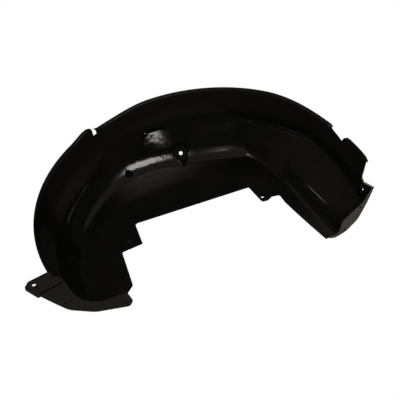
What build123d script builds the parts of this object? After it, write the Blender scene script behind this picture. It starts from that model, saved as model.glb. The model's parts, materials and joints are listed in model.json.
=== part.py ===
"""Wheel arch liner: one thin plastic moulding, open towards the wheel and towards the outside of the car.

X runs along the car, Y from the outboard lip inwards, Z up. While it is drawn, the origin is the wheel axle
in the plane of the lip. The finished solid is set down with the middle of its box's bottom at the origin.
"""
import os
from math import atan2, cos, degrees, hypot, radians, sin, tan

from build123d import *

# Wall and lip
WALL = 2.5
LIP_RADIUS = 363.0
LIP_BEND = 4.0
BARREL_RADIUS = 354.0
BARREL_DRAFT = 0.085
LIP_DIP = 7.0
LIP_DROP = 9.0
RIGHT_LIP_DROP = 15.0
RIGHT_EAR = 22.0
LEFT_BULGE = 3.0
RIGHT_FLARE = 4.5
RIGHT_LIP_FLARE = 2.0

# Depths, from the lip inwards
SIDE_DEPTH = 142.0
INNER_RADIUS = 104.0
CORNER_RADIUS = 317.0
CORNER_ROUND = 62.0

# Feet
FOOT_LEVEL = -78.0
FOOT_ANGLE = 193.0
FLANGE = 3.0

# Straight facets in the round of the barrel: distance from the axle, and the way each one faces
LEFT_FACET = (324.7, 174.8)
LEFT_CORNER = 315.0
TOP_FACET = (269.0, 76.0)
RIGHT_FACET = (245.0, 18.3)
MIDDLE_LEDGE_DEPTH = 60.0
LEFT_LEDGE_DEPTH = 17.0
RIGHT_LEDGE_DEPTH = 80.0
RIGHT_LEDGE = 8.0
LEDGE_BOW = 7.0
LEDGE_FALL = 33.0
SHELF_SPREAD = 45.0
LEDGE_ROUND = 80.0
BROW_ROUND = 60.0
RIGHT_LEG_DROP = 35.0
RIGHT_WALL_OUT = 33.0
RIGHT_WALL_RISE = 24.0
RIGHT_WALL_LEAN = 14.0
BLEND_POWER = 46.0

# Fixings
BIG_POCKET = (84.8, 289.5, 122.0)
BIG_POCKET_TILT = 45.0
BIG_POCKET_RADIUS = 22.0
BIG_POCKET_DEPTH = 12.0
BIG_POCKET_TAIL = 46.0
DISH = (87.0, 315.0, 97.0)
DISH_SIZE = (78.0, 42.0)
DISH_DEPTH = 7.0
SMALL_POCKET = (-112.0, 277.0)
SMALL_POCKET_RADIUS = 9.5
SMALL_POCKET_DEPTH = 9.0
POCKET_HOLE = 9.0
SMALL_POCKET_HOLE = 6.5
TAB_HOLE = 9.0
FLANGE_HOLE = 5.0
SIDE_TAB_HOLE = 8.0
SIDE_TAB = (157.5, 70.0)
SIDE_TAB_RIM = 2.0
TAB_HOLE_PLACE = (-389.0, 28.0)
FLANGE_HOLE_PLACES = ((-343.0, 108.0), (-222.0, 168.0), (336.0, 115.0), (297.0, 171.0))
TAB_JOGGLE = 2.0
PAD_RISE = 3.0
STUD_PLACE = (-170.0, 70.0)

# Cuts and seats on the barrel, by angle and depth
NOTCH_ANGLE = 117.6
NOTCH_WIDTH = 11.0
NOTCH_DEPTH = 17.0
RECESS_ANGLE = 11.5
SEAT = (-8.4, 353.5, 93.0)
SEAT_TILT = 32.0
SEAT_SIZE = 24.0
SEAT_DEPTH = 5.0
SLOT_PLACE = (-6.5, -2.9)
SLOT_LENGTH = 10.0
SLOT_WIDTH = 7.0
CLIP_PLACE = (-7.4, 44.0)

# Flat corner of the right foot: its place at the end of the barrel, and the ways along it and out of it
CORNER_PLANE = Plane((350.6, 44.2, -58.9), x_dir=(-3.0, 52.0, -21.0), z_dir=(0.5706, 0.3356, 0.7496))

# Places of the sections that the shell runs through, in degrees round the axle
STATIONS = (
    206, 199, 193, 187, 180, 173, 166, 158, 149, 140, 131, 124.5, 120, 115.5, 110, 103, 96, 90,
    83, 76, 68, 61, 55, 49, 42, 34, 25, 16, 7, -1, -8, -12, -16, -22,
)


def ease(value, start, end):
    """0 before start, 1 after end, and a smooth change between them."""
    part = min(max((value - start) / (end - start), 0.0), 1.0)
    return part * part * (3 - 2 * part)


def facet(angle, distance, facing):
    """Radius of a straight facet at an angle, or a large one where it does not reach."""
    share = cos(radians(angle - facing))
    return distance / share if share > 0.25 else distance * 4


def blended(*radii):
    """The least of several radii, with its corners rounded off."""
    return sum(radius**-BLEND_POWER for radius in radii) ** (-1 / BLEND_POWER)


def lip_depth(angle):
    """Depth of the lip's edge: level round most of the arch, with a step at the notch and a fall."""
    if angle > 80:
        fall = LIP_DIP + LIP_DROP * ease(angle, 92, 112)
        return -LIP_DIP * ease(angle, 129, 121) + fall * ease(angle, 120.5, 115)
    return RIGHT_LIP_DROP * ease(angle, 46, 16) - RIGHT_EAR * ease(angle, 13, -9)


def section(angle):
    """Corners of the wheel-side profile at one angle, as radius and depth, and the round at each corner."""
    angle = min(angle, FOOT_ANGLE)
    left = ease(angle, 150, 173)
    right = ease(angle, 68, 48)
    lens = ease(angle, 60, 46) * ease(angle, 19, 33)
    spread = ease(angle, 16, -13)
    leg = min(max((17.0 - angle) / 32.0, 0.0), 1.3)
    wall = ease(angle, 38, 21)

    # Lip, and the strip of the barrel below it
    lip = lip_depth(angle)
    top = BARREL_RADIUS + LEFT_BULGE * left + RIGHT_FLARE * ease(angle, 12, -8)

    def strip(depth):
        return top - BARREL_DRAFT * depth

    # Corner between the barrel and the side wall
    corner_depth = SIDE_DEPTH + RIGHT_LEG_DROP * max((21.0 - angle) / 36.5, 0.0)
    corner_radius = blended(
        CORNER_RADIUS,
        facet(angle, LEFT_CORNER, LEFT_FACET[1]),
        facet(angle, *TOP_FACET),
        facet(angle, *RIGHT_FACET),
    )

    # Ledge where the strip ends, and the shelf that it steps in to
    right_ledge = RIGHT_LEDGE_DEPTH + LEDGE_BOW * lens - LEDGE_FALL * ease(angle, 15, -12)
    ledge_depth = MIDDLE_LEDGE_DEPTH + (LEFT_LEDGE_DEPTH - MIDDLE_LEDGE_DEPTH) * left
    ledge_depth += (right_ledge - ledge_depth) * ease(angle, 74, 57)
    ledge = (strip(ledge_depth) + 0.6, ledge_depth)
    run = (corner_radius - ledge[0], corner_depth - ledge[1])
    shelf = (ledge[0] + 0.3 * run[0] - 0.4, ledge[1] + 0.3 * run[1])
    left_shelf = (min(blended(strip(30.0), facet(angle, *LEFT_FACET)), ledge[0] - 2.0), ledge_depth + 9.0)
    right_shelf = (
        ledge[0] - 2.0 - RIGHT_LEDGE * lens + 5.0 * spread,
        ledge_depth + 4.5 + SHELF_SPREAD * spread,
    )
    shelf = tuple(s + (a - s) * left + (b - s) * right for s, a, b in zip(shelf, left_shelf, right_shelf))

    # Brow above the steep wall of the right leg
    run = (corner_radius - shelf[0], corner_depth - shelf[1])
    brow = (shelf[0] + 0.25 * run[0] - 0.5, shelf[1] + 0.25 * run[1])
    right_brow = (
        corner_radius + RIGHT_WALL_OUT - RIGHT_WALL_LEAN * leg,
        corner_depth - RIGHT_WALL_RISE - RIGHT_WALL_LEAN * leg,
    )
    brow = tuple(s + (b - s) * wall for s, b in zip(brow, right_brow))

    corners = [
        (LIP_RADIUS + RIGHT_LIP_FLARE * ease(angle, 12, -2), lip),
        (top, lip),
        ledge,
        shelf,
        brow,
        (corner_radius, corner_depth),
        (INNER_RADIUS, corner_depth),
    ]
    sharp = max(ease(angle, 160, 174), ease(angle, 62, 46))
    rounds = [
        LIP_BEND,
        LEDGE_ROUND - 75.0 * sharp,
        LEDGE_ROUND - 74.0 * sharp + 24.0 * spread,
        BROW_ROUND - 50.0 * wall,
        CORNER_ROUND - 15.0 * left - 38.0 * ease(angle, 58, 42) - 6.0 * wall,
    ]
    return corners, fitted_rounds(corners, rounds)


def turn(before, here, after):
    """Angle through which a profile turns at a corner, positive to its left."""
    first = atan2(here[1] - before[1], here[0] - before[0])
    second = atan2(after[1] - here[1], after[0] - here[0])
    change = degrees(second - first)
    return (change + 180.0) % 360.0 - 180.0


def fitted_rounds(corners, rounds):
    """Each round, made smaller where it and its neighbour would not both fit on the line between them."""
    bends = [abs(turn(*three)) for three in zip(corners, corners[1:], corners[2:])]
    reaches = [radius * tan(radians(bend / 2)) for radius, bend in zip(rounds, bends)]
    lengths = [hypot(b[0] - a[0], b[1] - a[1]) for a, b in zip(corners, corners[1:])]
    around = [0.0, *reaches, 0.0]
    fits = [min(1.0, 0.94 * length / max(a + b, 0.01)) for length, a, b in zip(lengths, around, around[1:])]
    return [radius * min(pair) for radius, pair in zip(rounds, zip(fits, fits[1:]))]


def grown(corners, rounds, amount):
    """The same profile moved away from the wheel by an amount, with rounds that keep the wall even."""
    lines = []
    for start, end in zip(corners, corners[1:]):
        length = hypot(end[0] - start[0], end[1] - start[1])
        side = ((start[1] - end[1]) / length * amount, (end[0] - start[0]) / length * amount)
        lines.append(((start[0] - side[0], start[1] - side[1]), (end[0] - side[0], end[1] - side[1])))
    moved = [lines[0][0]]
    for (a, b), (c, d) in zip(lines, lines[1:]):
        one = (b[0] - a[0], b[1] - a[1])
        two = (d[0] - c[0], d[1] - c[1])
        cross = one[0] * two[1] - one[1] * two[0]
        share = ((c[0] - a[0]) * two[1] - (c[1] - a[1]) * two[0]) / cross
        moved.append((a[0] + share * one[0], a[1] + share * one[1]))
    moved.append(lines[-1][1])
    outer = []
    for before, here, after, radius in zip(corners, corners[1:], corners[2:], rounds):
        sign = -1.0 if turn(before, here, after) > 0 else 1.0
        outer.append(max(radius + sign * amount, 0.8))
    return moved, fitted_rounds(moved, outer)


def form(amount, rim, reach, height, ends):
    """Solid filling the wheel side of the liner, grown by an amount. The other four bound its open sides."""
    with BuildPart() as body:
        for angle in (STATIONS[0] + ends, *STATIONS[1:-1], STATIONS[-1] - ends):
            corners, rounds = section(angle)
            if amount:
                corners, rounds = grown(corners, rounds, amount)
            corners[0] = (corners[0][0] + rim, corners[0][1])
            corners[-1] = (reach, corners[-1][1])
            turned = radians(angle)
            along = (cos(turned), 0, sin(turned))
            with BuildSketch(Plane((0, 0, 0), x_dir=along, z_dir=(-sin(turned), 0, cos(turned)))):
                with BuildLine():
                    FilletPolyline(*corners, radius=rounds)
                    Polyline(corners[-1], (reach, height), (corners[0][0], height), corners[0])
                make_face()
        loft()
        # Raised pad on the side wall of the left leg
        with BuildSketch(upright(SIDE_DEPTH - PAD_RISE + amount)):
            outline(
                (-310 - amount, 170, 2), (-299 - amount, 53 - amount, 50), (-175, 36 - amount, 5),
                (-175, -120, 2), (-360, -120, 2), (-360, 170, 2),
            )
        extrude(amount=-40.0, mode=Mode.SUBTRACT)
    return body


def across(angle, radius, depth):
    """Plane facing outwards on the barrel: its X runs round the arch and its Y runs inboard."""
    turned = radians(angle)
    middle = (radius * cos(turned), depth, radius * sin(turned))
    return Plane(middle, x_dir=(sin(turned), 0, -cos(turned)), z_dir=(cos(turned), 0, sin(turned)))


def upright(depth):
    """Plane parallel to the side wall at a depth, with X along the car and Y up."""
    return Plane((0, depth, 0), x_dir=(1, 0, 0), z_dir=(0, -1, 0))


def outline(*corners):
    """Closed outline in a sketch, through corners given as two places and a round."""
    with BuildLine() as edge:
        places = [corner[:2] for corner in corners]
        FilletPolyline(*places, radius=[corner[2] for corner in corners], close=True)
    make_face(edge.edges())


def slope(angle, radius, depth, tilt):
    """Plane on a sloping wall, facing away from the wheel: its X runs round the arch and its Y down."""
    turned, leant = radians(angle), radians(tilt)
    facing = (cos(turned) * cos(leant), sin(leant), sin(turned) * cos(leant))
    middle = (radius * cos(turned), depth, radius * sin(turned))
    return Plane(middle, x_dir=(sin(turned), 0, -cos(turned)), z_dir=facing)


def pockets(amount):
    """Screw pockets and seats in the wall, as solids grown by an amount."""
    with BuildPart() as cups:
        # Large round pocket at the top, sunk inboard, with a tail whose floor climbs to the side wall
        mouth = slope(*BIG_POCKET, BIG_POCKET_TILT)
        for sunk, radius, tail in (
            (-20.0, BIG_POCKET_RADIUS + 3.5, BIG_POCKET_TAIL),
            (BIG_POCKET_DEPTH + amount, BIG_POCKET_RADIUS - 3.0, BIG_POCKET_RADIUS + 4.6),
        ):
            with BuildSketch(mouth.offset(sunk)):
                with Locations((0, 0.55 * sunk)):
                    Circle(radius + amount)
                with Locations((0, tail + amount - 2.0)):
                    Circle(2.0 + amount / 2)
                make_hull()
        loft()
        # Shallow dish round the large pocket, part of a long ellipsoid that dips into the slope
        dish = slope(*DISH, BIG_POCKET_TILT).offset(DISH_DEPTH - DISH_SIZE[1])
        with BuildSketch(dish):
            Ellipse(DISH_SIZE[0] + amount, DISH_SIZE[1] + amount)
            with Locations((0, -100)):
                Rectangle(400, 200, mode=Mode.SUBTRACT)
        revolve(axis=Axis(dish.origin, dish.x_dir))
        # Small pocket on the left
        with BuildSketch(upright(112.0)):
            with Locations(SMALL_POCKET):
                Circle(SMALL_POCKET_RADIUS + amount + 1.5)
        extrude(amount=-(SIDE_DEPTH + SMALL_POCKET_DEPTH + amount - 112.0), taper=3.0)
        # Square seat beside the right foot
        with BuildSketch(slope(*SEAT, SEAT_TILT).offset(-20.0)):
            RectangleRounded(SEAT_SIZE + 2 * amount, SEAT_SIZE + 2 * amount, 6.0 + amount)
        extrude(amount=20.0 + SEAT_DEPTH + amount)
        # Flat corner of the right foot, flaring out of the barrel
        with BuildSketch(CORNER_PLANE.offset(amount)):
            with Locations((28.5 + amount / 2, 0)):
                Rectangle(57.0 + amount, 60.0 + 2 * amount)
        extrude(amount=-30.0 - amount)
    return cups


core = form(0.0, 12.0, INNER_RADIUS - 8.0, -60.0, 1.5)
cavity = form(WALL, 0.0, INNER_RADIUS, -48.0, 0.0)
hollows = pockets(0.0)
cups = pockets(WALL)

with BuildPart() as wheel_space:
    add(core.part)
    add(hollows.part)

# Foot flanges, flat in the plane that the liner stands on. The hollow of the legs stays open.
with BuildPart() as flanges:
    with BuildSketch(Plane.XY.offset(FOOT_LEVEL)):
        outline(
            (-330, 44, 2), (-386, 60, 1), (-384, 66, 3), (-362, 101, 40), (-340, 134, 60), (-288, 168, 60),
            (-213, 186, 9), (-203, 172, 14), (-211, 140, 6), (-211, 90, 6), (-300, 60, 6),
        )
        outline(
            (300, 64, 2), (369, 64, 2), (352, 106, 60), (330, 150, 60), (300, 178, 50), (272, 188, 20),
            (252, 178, 6), (252, 140, 2),
        )
    extrude(amount=FLANGE)
    # Tab at the outboard end of the left flange, joggled up by part of its thickness
    with BuildSketch(Plane.XY.offset(FOOT_LEVEL + TAB_JOGGLE)):
        outline(
            (-330, 6, 2), (-352, 4, 2), (-398, 14.5, 8), (-411, 30, 12), (-391, 69, 3), (-380, 66, 2),
            (-330, 50, 2),
        )
    extrude(amount=FLANGE)
    add(wheel_space.part, mode=Mode.SUBTRACT)

with BuildPart() as wheel_arch_liner:
    add(cavity.part)
    add(cups.part)
    add(wheel_space.part, mode=Mode.SUBTRACT)
    # Everything below the feet goes
    with Locations((0, 60, FOOT_LEVEL - 150)):
        Box(1000, 600, 300, mode=Mode.SUBTRACT)
    # Free edge of the side wall, with its steps and the hole tab on the right
    with BuildSketch(upright(300.0)):
        outline(
            (-226, -94, 2), (-194, -62, 5), (-192, 43, 5), (-141.5, 49, 1), (-141.5, 116, 7), (140, 116, 5),
            (147.5, 79, 6), (152, 58, 6), (166, 58, 6), (179, 65, 6), (197.5, 64, 5), (202, 43, 6),
            (260, -99, 2),
        )
    extrude(amount=300.0, mode=Mode.SUBTRACT)
    # Outboard end of the right leg
    with BuildSketch(Plane.YZ.offset(280)):
        outline((-60, -80, 2), (50, -51.5, 3), (64, -78, 1), (64, -130, 2), (-60, -130, 2))
    extrude(amount=140.0, mode=Mode.SUBTRACT)
    # Notch in the lip
    with BuildSketch(across(NOTCH_ANGLE, BARREL_RADIUS - 10.0, 0)):
        with Locations((0, NOTCH_DEPTH - 25.0)):
            RectangleRounded(NOTCH_WIDTH, 50.0, 2.0)
    extrude(amount=40.0, mode=Mode.SUBTRACT)
    # Recess in the lip on the right
    with BuildSketch(across(RECESS_ANGLE, BARREL_RADIUS - 14.0, 0)):
        outline((-31, -40, 2), (-31, 16, 4), (22, 26, 5), (27, 14, 3), (42, 10, 2), (42, -40, 2))
    extrude(amount=44.0, mode=Mode.SUBTRACT)
    add(flanges.part)
    # Raised rim round the side tab's hole
    with BuildSketch(upright(SIDE_DEPTH + 1.0)):
        with Locations(SIDE_TAB):
            Circle(SIDE_TAB_HOLE / 2 + 3.0)
    extrude(amount=1.0 + SIDE_TAB_RIM)
    # Oval stud at the free edge of the left leg
    with BuildSketch(upright(SIDE_DEPTH + 1.0)):
        with Locations(STUD_PLACE):
            SlotOverall(18.0, 9.0)
    extrude(amount=1.0 + SIDE_TAB_RIM)
    # Holes for screws and clips
    with BuildSketch(upright(SIDE_DEPTH - 20.0)):
        with Locations(SIDE_TAB):
            Circle(SIDE_TAB_HOLE / 2)
        with Locations(SMALL_POCKET):
            Circle(SMALL_POCKET_HOLE / 2)
    extrude(amount=-60.0, mode=Mode.SUBTRACT)
    with BuildSketch(slope(*BIG_POCKET, BIG_POCKET_TILT)):
        with Locations((0, 6.6)):
            Circle(POCKET_HOLE / 2)
    extrude(amount=30.0, mode=Mode.SUBTRACT)
    with BuildSketch(Plane.XY.offset(FOOT_LEVEL - 5)):
        with Locations(TAB_HOLE_PLACE):
            Circle(TAB_HOLE / 2)
        with Locations(*FLANGE_HOLE_PLACES):
            Circle(FLANGE_HOLE / 2)
    extrude(amount=15.0, mode=Mode.SUBTRACT)
    with BuildSketch(slope(*SEAT, SEAT_TILT)):
        with Locations(SLOT_PLACE):
            SlotOverall(SLOT_LENGTH, SLOT_WIDTH, rotation=90)
    extrude(amount=20.0, mode=Mode.SUBTRACT)
    with BuildSketch(across(CLIP_PLACE[0], BARREL_RADIUS - 20.0, CLIP_PLACE[1])):
        Circle(FLANGE_HOLE / 2)
    extrude(amount=40.0, mode=Mode.SUBTRACT)

# The liner is set down on its feet, with the middle of its box's bottom at the origin
middle = wheel_arch_liner.part.bounding_box().center()
wheel_arch_liner.part = wheel_arch_liner.part.moved(Location((-middle.X, -middle.Y, -FOOT_LEVEL)))

wheel_arch_liner.part.label = "wheel_arch_liner"
os.makedirs("parts", exist_ok=True)
export_step(wheel_arch_liner.part, "parts/wheel_arch_liner.step")
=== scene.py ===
"""Wheel arch liner: the look of one thin black moulding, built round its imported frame.

The file is laid out as an add-on and run as a script. Lengths in the shape functions are millimetres from the
wheel axle in the plane of the lip: X along the car, Y inboard, Z up. Meshes go into the frame in metres.
"""
import json
from math import atan2, cos, degrees, hypot, pi, radians, sin, tan

import bmesh
import bpy
import numpy as np
from bpy.props import FloatProperty, FloatVectorProperty, PointerProperty
from mathutils import Matrix, Vector


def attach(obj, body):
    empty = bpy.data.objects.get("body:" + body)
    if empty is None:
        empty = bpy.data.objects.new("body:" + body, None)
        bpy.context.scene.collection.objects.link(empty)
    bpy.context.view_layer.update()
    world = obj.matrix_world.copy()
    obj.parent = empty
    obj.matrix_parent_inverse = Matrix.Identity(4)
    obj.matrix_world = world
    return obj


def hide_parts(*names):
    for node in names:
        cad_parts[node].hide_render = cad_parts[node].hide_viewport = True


bl_info = {
    "name": "Wheel Arch Liner",
    "version": (1, 0, 0),
    "blender": (4, 5, 0),
    "location": "View3D > Sidebar > Liner",
    "description": "Builds a moulded wheel arch liner and a plain studio round its CAD frame",
    "category": "Object",
}

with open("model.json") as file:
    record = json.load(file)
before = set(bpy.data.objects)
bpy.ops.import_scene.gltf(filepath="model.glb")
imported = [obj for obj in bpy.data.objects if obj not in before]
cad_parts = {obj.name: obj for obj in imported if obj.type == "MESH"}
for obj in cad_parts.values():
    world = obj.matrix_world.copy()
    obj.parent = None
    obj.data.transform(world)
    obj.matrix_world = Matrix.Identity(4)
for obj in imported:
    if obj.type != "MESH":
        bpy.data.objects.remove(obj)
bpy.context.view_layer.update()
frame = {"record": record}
NODE = "wheel_arch_liner"
MM = 0.001

# The tab's hole, from the axle. The frame gives where it is, and so where the axle is.
TAB_HOLE = Vector((-389.0, 28.0, -74.5))
AXLE = next(Vector(m["pos_m"]) for m in frame["record"]["mounts"] if m["name"] == "tab_hole") / MM - TAB_HOLE

# Steps of the skin: degrees between its sections, and points on each run and round of a section
SECTION_STEP = 0.75
FIRST_ANGLE = 206.0
LAST_ANGLE = -22.0
RUN_POINTS = (3, 6, 4, 14, 14, 14)
ROUND_POINTS = (6, 6, 6, 6, 16)
# Share of a run that the rounds at its ends may fill, least round of a grown profile, and shortest run
RUN_FILL = 0.94
LEAST_ROUND = 0.8
SHORTEST = 0.01

# Open sides of the two forms: past the lip, radius of the free edge, depth outboard, degrees past the ends
CORE_BOUNDS = {"rim": 12.0, "reach": 96.0, "height": -60.0, "ends": 1.5}
SHELL_BOUNDS = {"rim": 0.0, "reach": 104.0, "height": -48.0, "ends": 0.0}
# How far cutters stand out of the wall they cut, from those in a wall to those that trim a whole side
CLEAR = 20.0
BEYOND = 30.0
FAR = 300.0
# Share of a side that a round at its end may take, and the share of half a width that still leaves a flat
SIDE_FILL = 0.49
NEARLY_ROUND = 0.98

# Straight facets in the round of the barrel: distance from the axle, and the way each one faces
LEFT_FACET = (324.7, 174.8)
LEFT_CORNER = 315.0
TOP_FACET = (275.0, 73.5)
RIGHT_FACET = (245.0, 18.3)
TAB_EDGE = (361.0, 0.5)
LEDGE_EDGE = (340.0, 10.5)
# Angle past which the left leg's section stays the same
FOOT_ANGLE = 193.0
# Least cosine at which a facet still counts, and how sharply facets meet each other and the crown
FACET_REACH = 0.25
BLEND_POWER = 90.0
CROWN_POWER = 14.0

# Angles where a change of the section begins and ends
LEFT_LEG = (150.0, 173.0)
RIGHT_LEG = (68.0, 48.0)
LENS_END = (19.0, 33.0)
FOOT_SPREAD = (16.0, -13.0)
GUTTER = (38.0, 21.0)
LEFT_CREASE = (160.0, 174.0)
RIGHT_CREASE = (70.0, 54.0)
RIGHT_LEDGE = (74.0, 57.0)
LIP_NOTCH = (120.5, 115.0)
# Angle that parts the lip's left half from its right half
CROWN = 80.0

# Changes along the arch: how much, and the angles where each one begins and ends
LIP_FLARE = (7.0, 129.0, 121.0)
LIP_STEP = (9.0, 92.0, 112.0)
LIP_FALL = (15.0, 46.0, 16.0)
LIP_RISE = (22.0, 13.0, -9.0)
TAB_RISE = (4.5, 12.0, -8.0)
TAB_REACH = (2.0, 12.0, -2.0)
LEDGE_RISE = (33.0, 15.0, -12.0)
FACET_POWER = (46.0, 85.0, 68.0)
TIGHTER_CORNER = (38.0, 58.0, 42.0)
# The right leg leans and drops to its foot: the angle where that begins, its run in degrees, and its most
LEG_LEAN = (17.0, 32.0, 1.3)
LEG_DROP = (21.0, 36.5)

# Fall of the barrel's radius with depth, and places of shelf and brow on the way from the ledge to the corner
BARREL_TAPER = 0.085
SHELF_SHARE = 0.3
BROW_SHARE = 0.25
# Rounds of ledge, shelf and brow over the top of the arch
SOFT_ROUND = 80.0
BROW_ROUND = 60.0

# Places of the fixings: angle, radius and depth on a slope, or across and up on the side wall
BIG_POCKET = (84.8, 289.5, 122.0)
BIG_POCKET_HOLE = (0.0, 6.6)
SLOPE_TILT = 45.0
# The large pocket's walls: wider at its mouth, narrower at its floor, and how far its tip reaches at both
POCKET_FLARE = 3.5
POCKET_DRAFT = 3.0
MOUTH_TIP = 46.0
FLOOR_TIP = 4.6
# How far its middle moves down the slope with depth, and the round of its tip
POCKET_LEAN = 0.55
TIP_ROUND = 2.0
SMALL_POCKET = (-112.0, 277.0)
# The small pocket's cutter: the depth where it begins, wider there and narrower at the floor
SMALL_START = 112.0
SMALL_FLARE = 1.5
SMALL_DRAFT = 0.54
SIDE_TAB = (157.5, 70.0)
STUD = (-170.0, 70.0)
# Half the stud's width and height at its foot, shoulder and top, and the share of the height that is rounded
STUD_SIZES = ((10.0, 5.4), (9.4, 4.8), (6.0, 1.6))
STUD_ROUND = 0.96
SEAT = (-8.4, 353.5, 93.0)
SEAT_TILT = 32.0
SEAT_ROUND = 6.0
SEAT_SLOT = (-6.5, -2.9)
CLIP = (-7.4, 44.0)
FLANGE_HOLES = ((-343.0, 108.0), (-222.0, 168.0), (336.0, 115.0), (297.0, 171.0))
# Notch and recess in the lip: the angle, and how far each one cuts into the barrel
NOTCH_ANGLE = 117.6
NOTCH_DEPTH = 10.0
RECESS_ANGLE = 11.5
RECESS_DEPTH = 14.0
# Where the cutter of the right leg's end begins along the car, and its length
LEG_END = 280.0
LEG_END_LENGTH = 140.0
# Dish beside the large pocket: its middle, half its length and height, and where it is deepest along it
DISH = (91.3, 321.0, 91.0)
DISH_REACH = (52.0, 26.0)
DISH_DEEPEST = -0.35
# Shares of the reach between which the dish's rim fades in
DISH_RIM = (1.0, 0.6)
# Slanted face at the front corner of the right foot: a point of it, the way along it and the way it faces
FOOT_CORNER = ((350.6, 44.2, -58.9), (-3.0, 52.0, -21.0), (0.5706, 0.3356, 0.7496))
FOOT_CORNER_SIZE = (57.0, 30.0)
# The left tab is joggled up from the flange, and the pad's block reaches so far past the side wall
TAB_JOGGLE = 2.0
PAD_REACH = 40.0
# Raised marks start inside the wall. The rim stands so far round its hole.
ROOT = 1.0
RIM_WIDTH = 3.0
# Cutters of the round holes
DRILL_REACH = 20.0
DRILL_SIDES = 48
# Faces that meet at more than this are shaded as an edge
SHARP_ANGLE = 26.0

# Matte zone of the plastic, in metres from the axle: from smooth to matte by radius, by depth and along X
# The zone's lighter colour is partly painted light, lifting the barrel strip as bounce light would
MATTE_AND_BOUNCE_RADIUS = (0.338, 0.346)
MATTE_AND_BOUNCE_DEPTH = (0.070, 0.055)
MATTE_AND_BOUNCE_FOOT = (-0.325, -0.305)
# On the left shoulder it reaches further in, by so much of the radius and of the depth
MATTE_AND_BOUNCE_SHOULDER = (-0.14, -0.19)
SHOULDER_RADIUS = 0.010
SHOULDER_DEPTH = -0.035
# Roughness of the smooth walls, from clean to dusty, and of the matte zone
SMOOTH = (0.10, 0.16)
MATTE = 0.36
REFRACTION = 1.49
# Film of dust: size of its patches in metres, and the noise between which its colour and its roughness change
FILM_SIZE = 0.09
FILM_COLOUR = (0.42, 0.68)
FILM_ROUGH = (0.3, 0.7)
# Size and height in metres of what bends and breaks the highlights, and how strongly it does
WAVE_SIZE = 0.06
WAVE_HEIGHT = 0.0005
WAVE_STRENGTH = 0.5
RIPPLE_SIZE = 0.010
RIPPLE_HEIGHT = 0.0005
GRAIN_SIZE = 0.003
GRAIN_HEIGHT = 0.00012
GRAIN_STRENGTH = 0.25
# Middle of the rippled walls, from the axle, and the distances in metres where ripples begin and are full
FLOW_MARKS = (-50.0, 115.0, 306.0)
FLOW_REACH = (0.085, 0.05)

# Floor: half its side and its height just under the feet, in metres, and the share of paper in its white
FLOOR_REACH = 60.0
FLOOR_HEIGHT = -0.0008
FLOOR_PAPER = 0.3
WHITE = (1.0, 1.0, 1.0, 1.0)
# Strength of the dim room that the liner reflects
ROOM = 0.03
# Throw in degrees of a soft box without a grid
WIDE = 180.0
# Where the lamps point that light the whole liner and its top, and where the camera points, from the axle
MIDDLE = (0, 70, 150)
TOP = (-40, 128, 295)
AIM = (-6.364, 0.0, -15.794)
# Width of the camera's sensor in millimetres
SENSOR = 36.0


def linear(colour):
    """An sRGB hex colour as linear red, green, blue and alpha."""
    shares = [int(colour[i : i + 2], 16) / 255 for i in (1, 3, 5)]
    return (*[s / 12.92 if s <= 0.04045 else ((s + 0.055) / 1.055) ** 2.4 for s in shares], 1.0)


def length(name, description, default):
    """A length property in metres, with its default given in millimetres."""
    return FloatProperty(
        name=name, description=description, default=default * MM, min=0.0, unit="LENGTH", precision=4
    )


def bearing(name, description, default):
    """An angle property, with its default given in degrees."""
    return FloatProperty(name=name, description=description, default=radians(default), subtype="ANGLE")


def colour(name, description, default):
    """A colour property, with its default given as an sRGB hex value."""
    return FloatVectorProperty(
        name=name, description=description, default=linear(default), size=4, subtype="COLOR"
    )


class LinerShellSizes(bpy.types.PropertyGroup):
    """Sizes of the moulded shell."""

    wall: length("Wall", "Thickness of the moulding", 2.5)
    lip_radius: length("Lip radius", "From the axle to the edge of the lip", 363.0)
    lip_bend: length("Lip bend", "Round between the lip and the barrel", 1.2)
    barrel_radius: length("Barrel radius", "From the axle to the barrel at the lip", 354.0)
    side_depth: length("Side depth", "From the lip to the side wall", 142.0)
    corner_radius: length("Corner radius", "From the axle to the corner of barrel and side wall", 318.0)
    corner_round: length("Corner round", "Round between the barrel and the side wall", 62.0)
    middle_ledge: length("Middle ledge", "Depth of the bend in the barrel over the top", 60.0)
    left_ledge: length("Left ledge", "Depth of the ledge on the left leg", 17.0)
    right_ledge: length("Right ledge", "Depth of the ledge on the right leg", 80.0)
    ledge_step: length("Ledge step", "How far the right ledge steps in", 8.0)
    leg_drop: length("Leg drop", "How much deeper the right leg is at its foot", 35.0)
    wall_out: length("Brow reach", "From the right leg's gutter out to its brow", 23.0)
    wall_rise: length("Brow rise", "From the right leg's gutter up to its brow", 20.0)
    pad_rise: length("Pad rise", "Height of the raised pad on the left leg", 3.0)
    flange: length("Flange", "Thickness of the foot flanges", 3.0)
    foot_drop: length("Foot drop", "From the axle down to the foot flanges", 78.0)


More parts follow.
